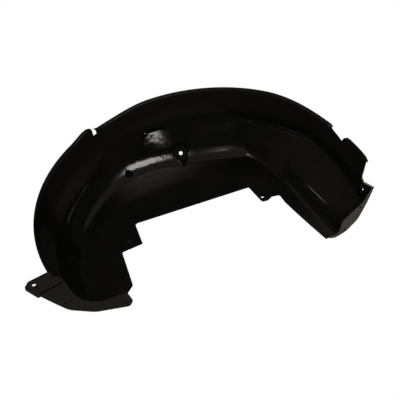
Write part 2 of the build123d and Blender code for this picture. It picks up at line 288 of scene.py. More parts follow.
class LinerFixingSizes(bpy.types.PropertyGroup):
    """Sizes of the pockets, seats and holes."""

    big_pocket: length("Pocket radius", "Mouth of the large pocket", 22.0)
    big_pocket_depth: length("Pocket depth", "Floor of the large pocket below the slope", 12.0)
    dish_depth: length("Dish depth", "Dip of the slope beside the large pocket", 10.0)
    small_pocket: length("Small pocket radius", "Floor of the small pocket", 9.5)
    small_pocket_depth: length("Small pocket depth", "Floor of the small pocket below the side wall", 6.5)
    seat: length("Seat size", "Side of the square seat at the right foot", 24.0)
    seat_depth: length("Seat depth", "Floor of the square seat below the slope", 5.0)
    slot_length: length("Slot length", "Length of the slot in the square seat", 10.0)
    slot_width: length("Slot width", "Width of the slot in the square seat", 7.0)
    pocket_hole: length("Pocket hole", "Diameter of the large pocket's hole", 9.0)
    small_hole: length("Small pocket hole", "Diameter of the small pocket's hole", 6.5)
    tab_hole: length("Tab hole", "Diameter of the hole in the left tab", 9.0)
    side_hole: length("Side tab hole", "Diameter of the hole in the side wall's tab", 8.0)
    flange_hole: length("Flange hole", "Diameter of the holes in the flanges", 5.0)
    rim: length("Rim", "Height of the raised rim and the stud", 2.0)
    boss: length("Boss", "Height of the bosses round the flanges' holes", 5.0)


class LinerFinish(bpy.types.PropertyGroup):
    """Colours of the plastic and the stage."""

    plastic: colour("Plastic", "Black polypropylene as moulded", "#060605")
    dusty: colour("Dusty plastic", "Where handling has left a brownish film", "#0B0A08")
    # The grained barrel's colour is made lighter partly as painted bounce light
    matte: colour("Matte plastic", "The grained barrel next to the lip", "#0D0C0B")
    floor: colour("Floor", "Pale studio floor", "#E6E6E4")


class LinerStageSettings(bpy.types.PropertyGroup):
    """The camera."""

    lens: FloatProperty(name="Lens", description="Focal length in millimetres", default=80.47, min=10.0)
    distance: length("Distance", "From the camera to the liner", 1900.0)
    azimuth: bearing("Turn", "Turn of the camera", -11.0442)
    tilt: bearing("Tilt", "Tilt to the wheel axle", 45.0)
    roll: bearing("Roll", "Roll of the camera", 10.0)


def settings(group):
    """A property group of the scene by its short name."""
    return getattr(bpy.context.scene, "liner_" + group)


def sizes(group):
    """The lengths of a property group, in millimetres, by name."""
    values = settings(group)
    return {name: getattr(values, name) / MM for name in type(values).__annotations__}


def ease(value, start, end):
    """0 before start, 1 after end, and a smooth change between them."""
    part = min(max((value - start) / (end - start), 0.0), 1.0)
    return part * part * (3 - 2 * part)


def stepped(value, amount, start, end):
    """None of an amount before start, all of it after end, and a smooth change between them."""
    return amount * ease(value, start, end)


def facet(angle, distance, facing):
    """Radius of a straight facet at an angle, or a large one where it does not reach."""
    return distance / max(cos(radians(angle - facing)), FACET_REACH)


def blended(*radii, power=BLEND_POWER):
    """The least of several radii, with its corners rounded off, more so at a low power."""
    return sum(radius**-power for radius in radii) ** (-1 / power)


def lip_depth(angle):
    """Depth of the lip's edge: level over most of the arch, with steps at the notch and on the right."""
    if angle > CROWN:
        inner = LIP_FLARE[0] + stepped(angle, *LIP_STEP)
        return inner * ease(angle, *LIP_NOTCH) - stepped(angle, *LIP_FLARE)
    return stepped(angle, *LIP_FALL) - stepped(angle, *LIP_RISE)


def mixed(first, second, share):
    """A point on the way from the first to the second."""
    return tuple(a + (b - a) * share for a, b in zip(first, second))


def section(angle, shell):
    """Corners of the wheel-side profile at one angle, as radius and depth, and the round at each corner."""
    angle = min(angle, FOOT_ANGLE)
    left = ease(angle, *LEFT_LEG)
    right = ease(angle, *RIGHT_LEG)
    lens = right * ease(angle, *LENS_END)
    spread = ease(angle, *FOOT_SPREAD)
    lean = min(max((LEG_LEAN[0] - angle) / LEG_LEAN[1], 0.0), LEG_LEAN[2])
    wall = ease(angle, *GUTTER)
    sharp = max(ease(angle, *LEFT_CREASE), ease(angle, *RIGHT_CREASE))

    # The lip and the barrel behind it
    lip = lip_depth(angle)
    top = shell["barrel_radius"] + 3.0 * left + stepped(angle, *TAB_RISE)
    rim = min(shell["lip_radius"] + stepped(angle, *TAB_REACH), facet(angle, *TAB_EDGE))

    # The corner of barrel and side wall
    deep = shell["side_depth"] + shell["leg_drop"] * max((LEG_DROP[0] - angle) / LEG_DROP[1], 0.0)
    power = CROWN_POWER + stepped(angle, *FACET_POWER)
    crown = blended(shell["corner_radius"], facet(angle, *TOP_FACET), power=power)
    corner = blended(crown, facet(angle, LEFT_CORNER, LEFT_FACET[1]), facet(angle, *RIGHT_FACET))

    # The ledge between the barrel and the slope, deeper on the right leg than on the left
    right_ledge = shell["right_ledge"] + 7.0 * lens - stepped(angle, *LEDGE_RISE)
    ledge_depth = shell["middle_ledge"] + (shell["left_ledge"] - shell["middle_ledge"]) * left
    ledge_depth += (right_ledge - ledge_depth) * ease(angle, *RIGHT_LEDGE)
    ledge = (blended(top - BARREL_TAPER * ledge_depth + 0.6, facet(angle, *LEDGE_EDGE)), ledge_depth)

    # The shelf where the ledge ends, which steps in on both legs
    shelf = mixed(ledge, (corner, deep), SHELF_SHARE)
    left_edge = min(blended(top - 2.55, facet(angle, *LEFT_FACET)), ledge[0] - 2.0)
    right_edge = ledge[0] - 2.0 - shell["ledge_step"] * lens + 5.0 * spread
    shelf = mixed((shelf[0] - 0.4, shelf[1]), (left_edge, ledge_depth + 9.0), left)
    shelf = mixed(shelf, (right_edge, ledge_depth + 4.5 - 3.5 * lens + 45.0 * spread), right)

    # The brow over the gutter of the right leg
    brow = mixed(shelf, (corner, deep), BROW_SHARE)
    right_brow = (corner + shell["wall_out"] - 14.0 * lean, deep - shell["wall_rise"] - 14.0 * lean)
    brow = mixed((brow[0] - 0.5, brow[1]), right_brow, wall)

    corners = [(rim, lip), (top, lip), ledge, shelf, brow, (corner, deep), (SHELL_BOUNDS["reach"], deep)]
    rounds = [
        shell["lip_bend"],
        SOFT_ROUND - 75.0 * sharp - 2.5 * lens,
        SOFT_ROUND - 74.0 * sharp - 3.5 * lens + 24.0 * spread,
        BROW_ROUND - 40.0 * wall,
        shell["corner_round"] + 10.0 * left - stepped(angle, *TIGHTER_CORNER) - 6.0 * wall,
    ]
    return corners, rounds


def bend_of(before, here, after):
    """Angle in degrees through which a profile turns at a corner, positive to its left."""
    first = atan2(here[1] - before[1], here[0] - before[0])
    second = atan2(after[1] - here[1], after[0] - here[0])
    return (degrees(second - first) + 180.0) % 360.0 - 180.0


def reaches_of(corners, rounds):
    """How far each round reaches along its two runs, made shorter where neighbours would not both fit."""
    bends = [abs(bend_of(*three)) for three in zip(corners, corners[1:], corners[2:])]
    wanted = [0.0, *[r * tan(radians(b / 2)) for r, b in zip(rounds, bends)], 0.0]
    runs = [hypot(b[0] - a[0], b[1] - a[1]) for a, b in zip(corners, corners[1:])]
    fits = [min(1.0, RUN_FILL * run / max(a + b, SHORTEST)) for run, a, b in zip(runs, wanted, wanted[1:])]
    return [reach * min(pair) for reach, pair in zip(wanted[1:-1], zip(fits, fits[1:]))]


def grown(corners, rounds, amount):
    """The same profile moved away from the wheel by an amount, with rounds that keep the wall even."""
    moved = []
    for start, end in zip(corners, corners[1:]):
        run = hypot(end[0] - start[0], end[1] - start[1])
        side = ((end[1] - start[1]) / run * amount, (start[0] - end[0]) / run * amount)
        moved.append(((start[0] + side[0], start[1] + side[1]), (end[0] + side[0], end[1] + side[1])))
    places = [moved[0][0]]
    for (a, b), (c, d) in zip(moved, moved[1:]):
        one, two = (b[0] - a[0], b[1] - a[1]), (d[0] - c[0], d[1] - c[1])
        cross = one[0] * two[1] - one[1] * two[0]
        share = ((c[0] - a[0]) * two[1] - (c[1] - a[1]) * two[0]) / cross
        places.append((a[0] + share * one[0], a[1] + share * one[1]))
    places.append(moved[-1][1])
    bends = [bend_of(*three) for three in zip(corners, corners[1:], corners[2:])]
    return places, [max(r - amount if b > 0 else r + amount, LEAST_ROUND) for r, b in zip(rounds, bends)]


def arc(start, corner, end, points):
    """Points on the circular arc that leaves start towards the corner and arrives at end."""
    one = (corner[0] - start[0], corner[1] - start[1])
    two = (end[0] - corner[0], end[1] - corner[1])
    weight = cos((atan2(two[1], two[0]) - atan2(one[1], one[0]) + pi) % (2 * pi) / 2 - pi / 2)
    made = []
    for share in np.linspace(0.0, 1.0, points):
        shares = ((1 - share) ** 2, 2 * weight * share * (1 - share), share**2)
        total = sum(shares)
        weighed = list(zip(shares, (start, corner, end)))
        made.append(tuple(sum(s * p[i] for s, p in weighed) / total for i in (0, 1)))
    return made


def profile(corners, rounds):
    """Points along a profile, the same number at every angle, so that sections can be skinned."""
    reaches = reaches_of(corners, rounds)
    points, last = [], corners[0]
    for before, here, after, reach, run, turn in zip(
        corners, corners[1:], corners[2:], reaches, RUN_POINTS, ROUND_POINTS
    ):
        into = mixed(here, before, reach / max(hypot(before[0] - here[0], before[1] - here[1]), SHORTEST))
        out = mixed(here, after, reach / max(hypot(after[0] - here[0], after[1] - here[1]), SHORTEST))
        points += [mixed(last, into, share) for share in np.linspace(0.0, 1.0, run)[:-1]]
        points += arc(into, here, out, turn)[:-1]
        last = out
    return points + [mixed(last, corners[-1], share) for share in np.linspace(0.0, 1.0, RUN_POINTS[-1])]


def dished(angle, point, depth):
    """A profile point, moved away from the wheel where the slope dips beside the large pocket."""
    across = radians(DISH[0] - angle) * DISH[1] / DISH_REACH[0]
    down = ((DISH[1] - point[0]) + (point[1] - DISH[2])) * sin(radians(SLOPE_TILT)) / DISH_REACH[1]
    rim = ease(abs(across) ** 3 + max(-down, 0.0) ** 3, *DISH_RIM)
    dip = depth * min(max(0.5 - down / 2, 0.0), 1.0) * rim
    dip *= max(1 - ((across - DISH_DEEPEST) / (1 - DISH_DEEPEST)) ** 2, 0.0)
    return point[0] + dip * cos(radians(SLOPE_TILT)), point[1] + dip * sin(radians(SLOPE_TILT))


def turned(angle, radius, depth):
    """A place by its angle round the axle, radius and depth."""
    return radius * cos(radians(angle)), depth, radius * sin(radians(angle))


def linked(name, mesh):
    """A new object at the origin for a mesh."""
    made = bpy.data.objects.new(name, mesh)
    bpy.context.scene.collection.objects.link(made)
    return made


def skinned(name, rings):
    """Closed solid through rings of as many points each, given in millimetres from the axle."""
    count = len(rings[0])
    points = [tuple((Vector(p) + AXLE) * MM) for ring in rings for p in ring]
    faces = [tuple(range(count)), tuple(range(len(points) - count, len(points)))]
    for row in range(len(rings) - 1):
        for i in range(count):
            j = (i + 1) % count
            faces.append((row * count + i, row * count + j, (row + 1) * count + j, (row + 1) * count + i))
    mesh = bpy.data.meshes.new(name)
    mesh.from_pydata(points, [], faces)
    shape = bmesh.new()
    shape.from_mesh(mesh)
    bmesh.ops.recalc_face_normals(shape, faces=shape.faces)
    shape.to_mesh(mesh)
    shape.free()
    return linked(name, mesh)


def form(name, amount, rim, reach, height, ends):
    """Solid filling the wheel side of the liner, grown by an amount, with the bounds of its open sides."""
    shell, fixings = sizes("shell"), sizes("fixings")
    angles = np.arange(FIRST_ANGLE, LAST_ANGLE - SECTION_STEP / 2, -SECTION_STEP)
    rings = []
    for angle in (FIRST_ANGLE + ends, *angles[1:-1], LAST_ANGLE - ends):
        corners, rounds = section(angle, shell)
        if amount:
            corners, rounds = grown(corners, rounds, amount)
        corners[0] = (corners[0][0] + rim, corners[0][1])
        corners[-1] = (reach, corners[-1][1])
        edge = [dished(angle, point, fixings["dish_depth"]) for point in profile(corners, rounds)]
        ring = edge + [(reach, height), (edge[0][0], height)]
        rings.append([turned(angle, *point) for point in ring])
    return skinned(name, rings)


def rounded(corners, points=7):
    """Closed outline through corners given as two places and a round."""
    outline = []
    for before, here, after in zip(corners[-1:] + corners[:-1], corners, corners[1:] + corners[:1]):
        reach = abs(here[2] * tan(radians(bend_of(before, here, after) / 2)))
        runs = [hypot(end[0] - here[0], end[1] - here[1]) for end in (before, after)]
        reach = min(reach, SIDE_FILL * runs[0], SIDE_FILL * runs[1])
        into, out = mixed(here[:2], before[:2], reach / runs[0]), mixed(here[:2], after[:2], reach / runs[1])
        outline += arc(into, here[:2], out, points)
    return outline


def ring_of(radius, centre=(0.0, 0.0), points=48):
    """A circle as points."""
    turns = [2 * pi * i / points for i in range(points)]
    return [(centre[0] + radius * cos(t), centre[1] + radius * sin(t)) for t in turns]


def teardrop(radius, centre, tip_radius, tip, points=96):
    """Outline round a circle and a small circle at its tip."""
    outline = []
    for i in range(points):
        way = (cos(2 * pi * i / points), sin(2 * pi * i / points))
        far = [c[0] * way[0] + c[1] * way[1] + r for c, r in ((centre, radius), (tip, tip_radius))]
        c, r = (centre, radius) if far[0] >= far[1] else (tip, tip_radius)
        outline.append((c[0] + r * way[0], c[1] + r * way[1]))
    return outline


class Plane:
    """A place to draw on: an origin, and the ways along, across and out of it."""

    def __init__(self, origin, along, out):
        self.origin = Vector(origin)
        self.along = Vector(along).normalized()
        self.out = Vector(out).normalized()
        self.across = self.out.cross(self.along)

    def place(self, point, height):
        """A point of a sketch, at a height above the plane."""
        return self.origin + self.along * point[0] + self.across * point[1] + self.out * height

    def block(self, name, outline, low, high):
        """Solid over an outline between two heights."""
        return skinned(name, [[self.place(p, h) for p in outline] for h in (low, high)])


def upright(depth):
    """Plane parallel to the side wall at a depth, facing outboard, with X along the car and Y up."""
    return Plane((0, depth, 0), (1, 0, 0), (0, -1, 0))


def level(height):
    """Plane parallel to the floor."""
    return Plane((0, 0, height), (1, 0, 0), (0, 0, 1))


def slope(angle, radius, depth, tilt):
    """Plane on a sloping wall: X round the arch, Y down the slope, facing away from the wheel."""
    lean = radians(tilt)
    out = Vector(turned(angle, cos(lean), 0.0)) + Vector((0, sin(lean), 0))
    return Plane(turned(angle, radius, depth), (sin(radians(angle)), 0, -cos(radians(angle))), out)


def across_barrel(angle, radius, depth):
    """Plane facing outwards on the barrel: X round the arch and Y inboard."""
    return slope(angle, radius, depth, 0.0)


def pockets(amount):
    """Screw pockets and seats in the wall, as solids grown by an amount."""
    shell, fix = sizes("shell"), sizes("fixings")
    mouth = slope(*BIG_POCKET, SLOPE_TILT)
    rings = []
    for sunk, radius, tail in (
        (-CLEAR, fix["big_pocket"] + POCKET_FLARE, MOUTH_TIP),
        (fix["big_pocket_depth"] + amount, fix["big_pocket"] - POCKET_DRAFT, fix["big_pocket"] + FLOOR_TIP),
    ):
        middle, tip = (0.0, POCKET_LEAN * sunk), (0.0, tail + amount - TIP_ROUND)
        outline = teardrop(radius + amount, middle, TIP_ROUND + amount / 2, tip)
        rings.append([mouth.place(p, sunk) for p in outline])
    made = [skinned("pocket", rings)]

    floor = shell["side_depth"] + fix["small_pocket_depth"] + amount
    rings = []
    for depth, wider in ((SMALL_START, SMALL_FLARE), (floor, -SMALL_DRAFT)):
        outline = ring_of(fix["small_pocket"] + wider + amount, SMALL_POCKET)
        rings.append([upright(0.0).place(p, -depth) for p in outline])
    made.append(skinned("small_pocket", rings))

    half = fix["seat"] / 2 + amount
    ends = ((-half, -half), (half, -half), (half, half), (-half, half))
    outline = rounded([(x, y, SEAT_ROUND + amount) for x, y in ends])
    made.append(slope(*SEAT, SEAT_TILT).block("seat", outline, -CLEAR, fix["seat_depth"] + amount))

    long, wide = [size + amount for size in FOOT_CORNER_SIZE]
    outline = [(0.0, -wide), (long, -wide), (long, wide), (0.0, wide)]
    made.append(Plane(*FOOT_CORNER).block("foot_corner", outline, -BEYOND, amount))
    return made


def pad(amount):
    """Block that presses the raised pad of the left leg into a form that was grown by an amount."""
    shell = sizes("shell")
    outline = rounded([
        (-310 - amount, 170, 2), (-299 - amount, 53 - amount, 50), (-175, 36 - amount, 5),
        (-175, -120, 2), (-360, -120, 2), (-360, 170, 2),
    ])
    return upright(shell["side_depth"] - shell["pad_rise"] + amount).block("pad", outline, -PAD_REACH, 0.0)


def settled(body):
    """Turns the result of a body's modifiers into its plain mesh."""
    bpy.context.view_layer.update()
    graph = bpy.context.evaluated_depsgraph_get()
    mesh = bpy.data.meshes.new_from_object(body.evaluated_get(graph), depsgraph=graph)
    body.modifiers.clear()
    old, body.data = body.data, mesh
    bpy.data.meshes.remove(old)


def combined(body, operation, tools):
    """Joins tools to a body or cuts them from it, and removes them."""
    for tool in tools:
        change = body.modifiers.new(tool.name, "BOOLEAN")
        change.operation = operation
        change.solver = "MANIFOLD"
        change.object = tool
    settled(body)
    for tool in tools:
        bpy.data.objects.remove(tool)
    if not body.data.polygons:
        raise RuntimeError(f"{body.name} has no faces left after {operation}")
    return body


def twin(body):
    """A copy of a body with its own mesh."""
    return linked(body.name + "_copy", body.data.copy())


def flange_blanks():
    """Foot flanges before the hollow of the legs is cut from them, with the joggled tab."""
    shell = sizes("shell")
    foot = -shell["foot_drop"]
    left = rounded([
        (-330, 44, 2), (-386, 60, 1), (-384, 66, 3), (-362, 101, 40), (-340, 134, 60), (-288, 168, 60),
        (-213, 186, 9), (-203, 172, 14), (-211, 140, 6), (-211, 90, 6), (-300, 60, 6),
    ])
    right = rounded([
        (300, 64, 2), (369, 64, 2), (352, 106, 60), (330, 150, 60), (300, 178, 50), (272, 188, 20),
        (252, 178, 6), (252, 140, 2),
    ])
    tab = rounded([
        (-330, 6, 2), (-352, 4, 2), (-398, 14.5, 8), (-411, 30, 12), (-391, 69, 3), (-380, 66, 2),
        (-330, 50, 2),
    ])
    blanks = level(foot).block("left_flange", left, 0.0, shell["flange"])
    others = [
        level(foot).block("right_flange", right, 0.0, shell["flange"]),
        level(foot).block("tab", tab, TAB_JOGGLE, TAB_JOGGLE + shell["flange"]),
    ]
    return combined(blanks, "UNION", others)


def trims():
    """Blocks that cut the free edges: feet, side wall, end of the right leg, notch and recess."""
    shell = sizes("shell")
    below = [(-500, -300), (500, -300), (500, 400), (-500, 400)]
    free_edge = rounded([
        (-226, -94, 2), (-194, -62, 5), (-192, 43, 5), (-141.5, 49, 1), (-141.5, 116, 7), (140, 116, 5),
        (147.5, 79, 6), (152, 58, 6), (166, 58, 6), (179, 65, 6), (197.5, 64, 5), (202, 43, 6), (260, -99, 2),
    ])
    leg_end = rounded([(-60, -80, 2), (50, -51.5, 3), (64, -78, 1), (64, -130, 2), (-60, -130, 2)])
    notch = rounded([(-5.5, -33, 2), (5.5, -33, 2), (5.5, 17, 2), (-5.5, 17, 2)])
    recess = rounded([(-31, -40, 2), (-31, 16, 4), (22, 26, 5), (27, 14, 3), (42, 10, 2), (42, -40, 2)])
    barrel = shell["barrel_radius"]
    return [
        level(-shell["foot_drop"]).block("below_feet", below, -FAR, 0.0),
        upright(0.0).block("free_edge", free_edge, -FAR, 0.0),
        Plane((LEG_END, 0, 0), (0, 1, 0), (1, 0, 0)).block("leg_end", leg_end, 0.0, LEG_END_LENGTH),
        across_barrel(NOTCH_ANGLE, barrel, 0.0).block("notch", notch, -NOTCH_DEPTH, BEYOND),
        across_barrel(RECESS_ANGLE, barrel, 0.0).block("recess", recess, -RECESS_DEPTH, BEYOND),
    ]


def raised_marks():
    """Rim round the side tab's hole, oval stud on the left leg, and bosses round the flanges' holes."""
    shell, fix = sizes("shell"), sizes("fixings")
    side = upright(shell["side_depth"] + ROOT)
    top = ROOT + fix["rim"]
    rim = side.block("tab_rim", ring_of(fix["side_hole"] / 2 + RIM_WIDTH, SIDE_TAB), 0.0, top)
    rings = []
    for height, (wide, tall) in zip((0.0, ROOT + fix["rim"] / 2, top), STUD_SIZES):
        ends = [(-wide, -tall), (wide, -tall), (wide, tall), (-wide, tall)]
        outline = rounded([(STUD[0] + x, STUD[1] + y, STUD_ROUND * tall) for x, y in ends])
        rings.append([side.place(p, height) for p in outline])
    stud = skinned("stud", rings)
    foot = level(-shell["foot_drop"])
    collar, height = fix["flange_hole"], shell["flange"] + fix["boss"]
    bosses = [foot.block("boss", ring_of(collar, place), 0.0, height) for place in FLANGE_HOLES]
    return [rim, stud, *bosses]


def hole_places():
    """Middle, axis and diameter of each round hole."""
    shell, fix = sizes("shell"), sizes("fixings")
    mouth = slope(*BIG_POCKET, SLOPE_TILT)
    side = shell["side_depth"]
    foot = -shell["foot_drop"]
    upwards = (0.0, 0.0, 1.0)
    inboard = (0.0, 1.0, 0.0)
    places = [
        (mouth.place(BIG_POCKET_HOLE, fix["big_pocket_depth"]), mouth.out, fix["pocket_hole"]),
        ((SMALL_POCKET[0], side + fix["small_pocket_depth"], SMALL_POCKET[1]), inboard, fix["small_hole"]),
        ((SIDE_TAB[0], side, SIDE_TAB[1]), inboard, fix["side_hole"]),
        (TAB_HOLE, upwards, fix["tab_hole"]),
        (turned(CLIP[0], shell["barrel_radius"], CLIP[1]), turned(CLIP[0], 1.0, 0.0), fix["flange_hole"]),
    ]
    places += [((x, y, foot), upwards, fix["flange_hole"]) for x, y in FLANGE_HOLES]
    return places


def add_node(tree, kind, values=None, links=None, **options):
    """A node in a tree, with its options, the values of its sockets and the outputs that feed them."""
    made = tree.nodes.new(kind)
    for name, value in options.items():
        setattr(made, name, value)
    for socket, value in (values or {}).items():
        made.inputs[socket].default_value = value
    for socket, source in (links or {}).items():
        tree.links.new(source, made.inputs[socket])
    return made


def drill_tree():
    """Node tree that stands a round cutter on every point, turned to its axis and as wide as its hole."""
    tree = bpy.data.node_groups.new("Drill bits", "GeometryNodeTree")
    inputs = {"Points": "Geometry", "Reach": "Float", "Sides": "Int", "Material": "Material"}
    for name, kind in inputs.items():
        tree.interface.new_socket(name, in_out="INPUT", socket_type="NodeSocket" + kind)
    tree.interface.new_socket("Bits", in_out="OUTPUT", socket_type="NodeSocketGeometry")
    given = add_node(tree, "NodeGroupInput").outputs
    bit = add_node(
        tree,
        "GeometryNodeMeshCylinder",
        {"Radius": 1.0},
        {"Vertices": given["Sides"], "Depth": given["Reach"]},
    )
    axis = add_node(tree, "GeometryNodeInputNamedAttribute", {"Name": "axis"}, data_type="FLOAT_VECTOR")
    stored = add_node(tree, "GeometryNodeInputNamedAttribute", {"Name": "radius"}, data_type="FLOAT")
    wide = stored.outputs["Attribute"]
    turn = add_node(tree, "FunctionNodeAlignRotationToVector", links={"Vector": axis.outputs[0]}, axis="Z")
    scale = add_node(tree, "ShaderNodeCombineXYZ", {"Z": 1.0}, {"X": wide, "Y": wide})
    stood = add_node(
        tree,
        "GeometryNodeInstanceOnPoints",
        links={
            "Points": given["Points"],
            "Instance": bit.outputs["Mesh"],
            "Rotation": turn.outputs["Rotation"],
            "Scale": scale.outputs["Vector"],
        },
    )
    whole = add_node(tree, "GeometryNodeRealizeInstances", links={"Geometry": stood.outputs["Instances"]})
    coated = add_node(
        tree,
        "GeometryNodeSetMaterial",
        links={"Geometry": whole.outputs["Geometry"], "Material": given["Material"]},
    )
    add_node(tree, "NodeGroupOutput", links={"Bits": coated.outputs["Geometry"]})
    return tree


def drill_bits(material):
    """Cutters for all the round holes, as one object."""
    places = hole_places()
    mesh = bpy.data.meshes.new("drill_bits")
    mesh.from_pydata([tuple((Vector(middle) + AXLE) * MM) for middle, _, _ in places], [], [])
    mesh.attributes.new("axis", "FLOAT_VECTOR", "POINT")
    mesh.attributes.new("radius", "FLOAT", "POINT")
    for i, (_, axis, diameter) in enumerate(places):
        mesh.attributes["axis"].data[i].vector = axis
        mesh.attributes["radius"].data[i].value = diameter / 2 * MM
    bits = linked("drill_bits", mesh)
    tree = drill_tree()
    change = bits.modifiers.new("Drill bits", "NODES")
    change.node_group = tree
    given = {"Reach": DRILL_REACH * MM, "Sides": DRILL_SIDES, "Material": material}
    for item in tree.interface.items_tree:
        if item.in_out == "INPUT" and item.name in given:
            change[item.identifier] = given[item.name]
    settled(bits)
    return bits


def slot_cutter():
    """Cutter for the slot in the square seat."""
    fix = sizes("fixings")
    x, y = SEAT_SLOT
    wide, high = fix["slot_width"] / 2, fix["slot_length"] / 2
    ends = ((x - wide, y - high), (x + wide, y - high), (x + wide, y + high), (x - wide, y + high))
    outline = rounded([(*end, NEARLY_ROUND * wide) for end in ends])
    return slope(*SEAT, SEAT_TILT).block("seat_slot", outline, 0.0, CLEAR)


def noise(tree, place, size, detail, roughness=0.5):
    """Output of a noise with patches of a size in metres."""
    values = {"Scale": 1 / size, "Detail": detail, "Roughness": roughness}
    return add_node(tree, "ShaderNodeTexNoise", values, {"Vector": place}).outputs[0]


def ramp(tree, value, start, end, low=0.0, high=1.0):
    """Output that goes from low to high while a value goes from start to end."""
    limits = {"From Min": start, "From Max": end, "To Min": low, "To Max": high}
    return add_node(tree, "ShaderNodeMapRange", limits, {"Value": value}).outputs["Result"]


def raised(tree, value, share, amount):
    """Output of a value plus a share of an amount."""
    links = {0: share, 2: value}
    return add_node(tree, "ShaderNodeMath", {1: amount}, links, operation="MULTIPLY_ADD").outputs[0]


def product(tree, first, second):
    """Output of one value times another."""
    return add_node(tree, "ShaderNodeMath", links={0: first, 1: second}, operation="MULTIPLY").outputs[0]


def matte_zone(tree, place):
    """Output that is 1 on the barrel next to the lip and 0 on the walls inside it. It also lays painted
    bounce light there.
    """
    kind = "ShaderNodeVectorMath"
    middle = add_node(tree, kind, {1: tuple(AXLE * MM)}, {0: place}, operation="SUBTRACT").outputs[0]
    flat = add_node(tree, kind, {1: (1.0, 0.0, 1.0)}, {0: middle}, operation="MULTIPLY").outputs[0]
    radius = add_node(tree, kind, links={0: flat}, operation="LENGTH").outputs["Value"]
    spot = add_node(tree, "ShaderNodeSeparateXYZ", links={0: middle}).outputs
    shoulder = ramp(tree, spot["X"], *MATTE_AND_BOUNCE_SHOULDER)
    outside = ramp(tree, raised(tree, radius, shoulder, SHOULDER_RADIUS), *MATTE_AND_BOUNCE_RADIUS)
    near_lip = ramp(tree, raised(tree, spot["Y"], shoulder, SHOULDER_DEPTH), *MATTE_AND_BOUNCE_DEPTH)
    above_foot = ramp(tree, spot["X"], *MATTE_AND_BOUNCE_FOOT)
    return product(tree, product(tree, outside, near_lip), above_foot)


def uneven(tree, place):
    """Normal of the skin, with its slow waves, its ripples and its grain."""
    # Moulded walls of this size are never flat, and slow waves bend the highlights
    waves = noise(tree, place, WAVE_SIZE, 1.0)
    slow = add_node(
        tree, "ShaderNodeBump", {"Strength": WAVE_STRENGTH, "Distance": WAVE_HEIGHT}, {"Height": waves}
    )
    # Beside the large pocket the melt flowed round the core of the tool, and ripples break the highlights
    middle = tuple((AXLE + Vector(FLOW_MARKS)) * MM)
    away = add_node(tree, "ShaderNodeVectorMath", {1: middle}, {0: place}, operation="DISTANCE")
    nearby = ramp(tree, away.outputs["Value"], *FLOW_REACH)
    flow = noise(tree, place, RIPPLE_SIZE, 3.0)
    ripples = add_node(
        tree,
        "ShaderNodeBump",
        {"Distance": RIPPLE_HEIGHT},
        {"Strength": nearby, "Height": flow, "Normal": slow.outputs["Normal"]},
    )
    # The grain is a few tenths of a millimetre. It is drawn at the finest size that shows.
    grain = noise(tree, place, GRAIN_SIZE, 2.0)
    rough = add_node(
        tree,
        "ShaderNodeBump",
        {"Strength": GRAIN_STRENGTH, "Distance": GRAIN_HEIGHT},
        {"Height": grain, "Normal": ripples.outputs["Normal"]},
    )
    return rough.outputs["Normal"]


def plastic():
    """Black polypropylene, injection moulded: a satin skin whose grain breaks up its soft highlights."""
    finish = settings("finish")
    material = bpy.data.materials.new("Black polypropylene")
    material.use_nodes = True
    tree = material.node_tree
    tree.nodes.clear()
    place = add_node(tree, "ShaderNodeTexCoord").outputs["Object"]

    # A brownish film of dust and handling lies in patches
    film = noise(tree, place, FILM_SIZE, 5.0, roughness=0.6)
    patches = ramp(tree, film, *FILM_COLOUR)
    smooth = add_node(
        tree,
        "ShaderNodeMix",
        {6: tuple(finish.plastic), 7: tuple(finish.dusty)},
        {"Factor": patches},
        data_type="RGBA",
    )
    polish = ramp(tree, film, *FILM_ROUGH, *SMOOTH)

    # The barrel next to the lip keeps the tool's matte grain. Only the walls inside it are smooth.
    # Its lighter colour there is partly painted light, lifting the strip as bounce light would.
    barrel = matte_zone(tree, place)
    tone = add_node(
        tree,
        "ShaderNodeMix",
        {7: tuple(finish.matte)},
        {"Factor": barrel, 6: smooth.outputs[2]},
        data_type="RGBA",
    )
    roughness = add_node(tree, "ShaderNodeMix", {3: MATTE}, {"Factor": barrel, 2: polish}, data_type="FLOAT")
    shader = add_node(
        tree,
        "ShaderNodeBsdfPrincipled",
        {"IOR": REFRACTION},
        {
            "Base Color": tone.outputs[2],
            "Roughness": roughness.outputs[0],
            "Normal": uneven(tree, place),
        },
    )
    add_node(tree, "ShaderNodeOutputMaterial", links={"Surface": shader.outputs[0]})
    return material


def floor_paper():
    """Pale studio paper. It lets the camera through from below, where the picture is taken from."""
    material = bpy.data.materials.new("Studio paper")
    material.use_nodes = True
    tree = material.node_tree
    tree.nodes.clear()
    side = add_node(tree, "ShaderNodeNewGeometry")
    paper = add_node(tree, "ShaderNodeBsdfDiffuse", {"Color": tuple(settings("finish").floor)})
    # The lamps stand round the liner, not over the paper, so the camera is shown white with a shadow
    seen = add_node(tree, "ShaderNodeLightPath").outputs["Is Camera Ray"]
    white = add_node(tree, "ShaderNodeEmission", {"Color": WHITE}, {"Strength": seen})
    shaded = add_node(
        tree, "ShaderNodeMixShader", {"Fac": FLOOR_PAPER}, {1: white.outputs[0], 2: paper.outputs[0]}
    )
    clear = add_node(tree, "ShaderNodeBsdfTransparent")
    both = add_node(
        tree,
        "ShaderNodeMixShader",
        links={"Fac": side.outputs["Backfacing"], 1: shaded.outputs[0], 2: clear.outputs[0]},
    )
    add_node(tree, "ShaderNodeOutputMaterial", links={"Surface": both.outputs[0]})
    return material


